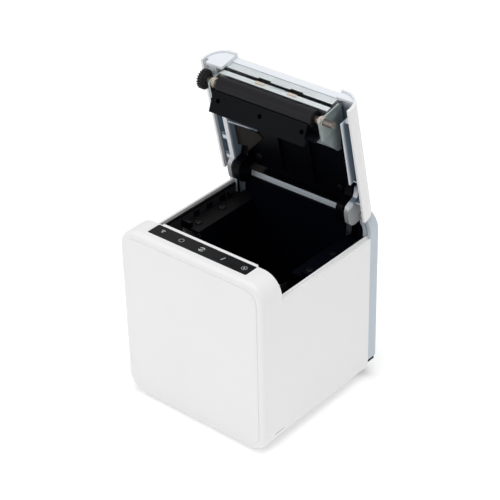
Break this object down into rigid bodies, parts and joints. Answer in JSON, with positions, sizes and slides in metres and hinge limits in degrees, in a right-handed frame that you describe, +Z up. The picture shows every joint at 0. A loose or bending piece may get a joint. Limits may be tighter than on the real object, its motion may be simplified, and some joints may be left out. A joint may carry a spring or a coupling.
{
  "type": "receipt printer",
  "caption": "Cube-shaped thermal receipt printer with its clamshell lid open, showing the platen, the cutter, the paper bin and the rear cable bay.",
  "frame": {"origin": "Centre of the body's footprint, on the surface that the feet stand on", "axes": "+X to the right seen from the front, +Y from the front face to the rear, +Z up"},
  "size_m": [0.127, 0.1272, 0.2316],
  "materials": {
    "casing_white": "fine satin injection-moulded ABS",
    "casing_grey": "satin blue-grey moulded plastic",
    "window_black": "smooth glossy window strip",
    "icon_ink": "pale printed symbols",
    "black_plastic": "fine black moulded plastic",
    "dark_frame": "black coated sheet steel",
    "board_green": "solder-masked circuit board",
    "steel": "bright sheet steel",
    "zinc_steel": "zinc-plated sheet steel",
    "aluminium_block": "extruded heat sink",
    "ceramic_head": "glazed print head strip",
    "white_gear": "acetal gear",
    "black_gear": "black acetal gear",
    "platen_rubber": "ground synthetic rubber",
    "bushing_cream": "cream acetal",
    "foot_rubber": "dark moulded rubber",
    "plate_grey": "grey moulded base",
    "screw_steel": "machine screws",
    "brass_spring": "phosphor bronze leaf springs"
  },
  "bodies": {
    "case": {"front_plate": "casing_white", "front_panel": "casing_white", "housing": "casing_white", "indicator_window": "window_black", "indicator_icons": "icon_ink", "rear_shell": "casing_grey", "rear_caps": "black_plastic", "io_panel": "black_plastic", "dc_jack": "black_plastic", "usb_port": "steel", "lan_port": "steel", "drawer_port": "black_plastic", "switch_body": "black_plastic", "base_plate": "plate_grey", "rubber_feet": "foot_rubber", "base_screws": "screw_steel", "paper_bin": "black_plastic", "bin_screws": "screw_steel", "near_end_sensor": "black_plastic", "control_board": "board_green", "chassis": "steel", "head_spring": "brass_spring", "latch_springs": "steel", "feed_motor": "steel", "cutter_frame": "dark_frame", "cutter_motor": "steel", "hinge_pins": "steel"},
    "print_head": {"heat_sink": "aluminium_block", "thermal_head": "ceramic_head"},
    "motor_shaft": {"motor_pinion": "white_gear"},
    "idler": {"idler_gear": "white_gear"},
    "cutter_blade": {"moving_blade": "steel"},
    "cutter_drive": {"cutter_pinion": "white_gear"},
    "power_rocker": {"switch_rocker": "black_plastic"},
    "lid": {"lid_cover": "casing_white", "lid_frame": "casing_grey", "lid_liner": "black_plastic", "hinge_arms": "black_plastic", "lid_screws": "screw_steel", "blade_holder": "steel", "fixed_blade": "steel", "blade_clips": "bushing_cream", "blade_spring": "steel", "platen_bracket": "zinc_steel", "platen_bushings": "bushing_cream", "paper_guide": "black_plastic"},
    "platen": {"platen_shaft": "steel", "platen_rubber": "platen_rubber", "platen_gear": "black_gear"}
  },
  "joints": [
    {"name": "lid_hinge", "type": "hinge", "parent": "case", "child": "lid", "pos_m": [0, 0.0589, 0.1312], "axis": [1, 0, 0], "range_deg": [0, 78]},
    {"name": "platen_spin", "type": "hinge", "parent": "lid", "child": "platen", "pos_m": [0, 0.0205, 0.2176], "axis": [1, 0, 0], "continuous": true},
    {"name": "idler_spin", "type": "hinge", "parent": "case", "child": "idler", "pos_m": [0, -0.03281, 0.09174], "axis": [1, 0, 0], "continuous": true},
    {"name": "pinion_spin", "type": "hinge", "parent": "case", "child": "motor_shaft", "pos_m": [0, -0.0475, 0.0812], "axis": [1, 0, 0], "continuous": true},
    {"name": "head_tilt", "type": "hinge", "parent": "case", "child": "print_head", "pos_m": [0, -0.0391, 0.0951], "axis": [1, 0, 0], "range_deg": [0, 2], "stiffness_Nm_per_rad": 2, "springref_deg": -4.01},
    {"name": "blade_slide", "type": "slide", "parent": "case", "child": "cutter_blade", "axis": [0, 1, 0], "range_m": [0, 0.006]},
    {"name": "cutter_spin", "type": "hinge", "parent": "case", "child": "cutter_drive", "pos_m": [0.028, -0.0515, 0.1212], "axis": [0, 0, 1], "range_deg": [0, 85.94]},
    {"name": "power_switch", "type": "hinge", "parent": "case", "child": "power_rocker", "pos_m": [0, 0.0471, 0.0132], "axis": [1, 0, 0], "range_deg": [0, 14]}
  ],
  "couplings": [
    {"joint": "pinion_spin", "follows": "idler_spin", "ratio": -2.75},
    {"joint": "cutter_spin", "follows": "blade_slide", "rad_per_m": 250}
  ]
}
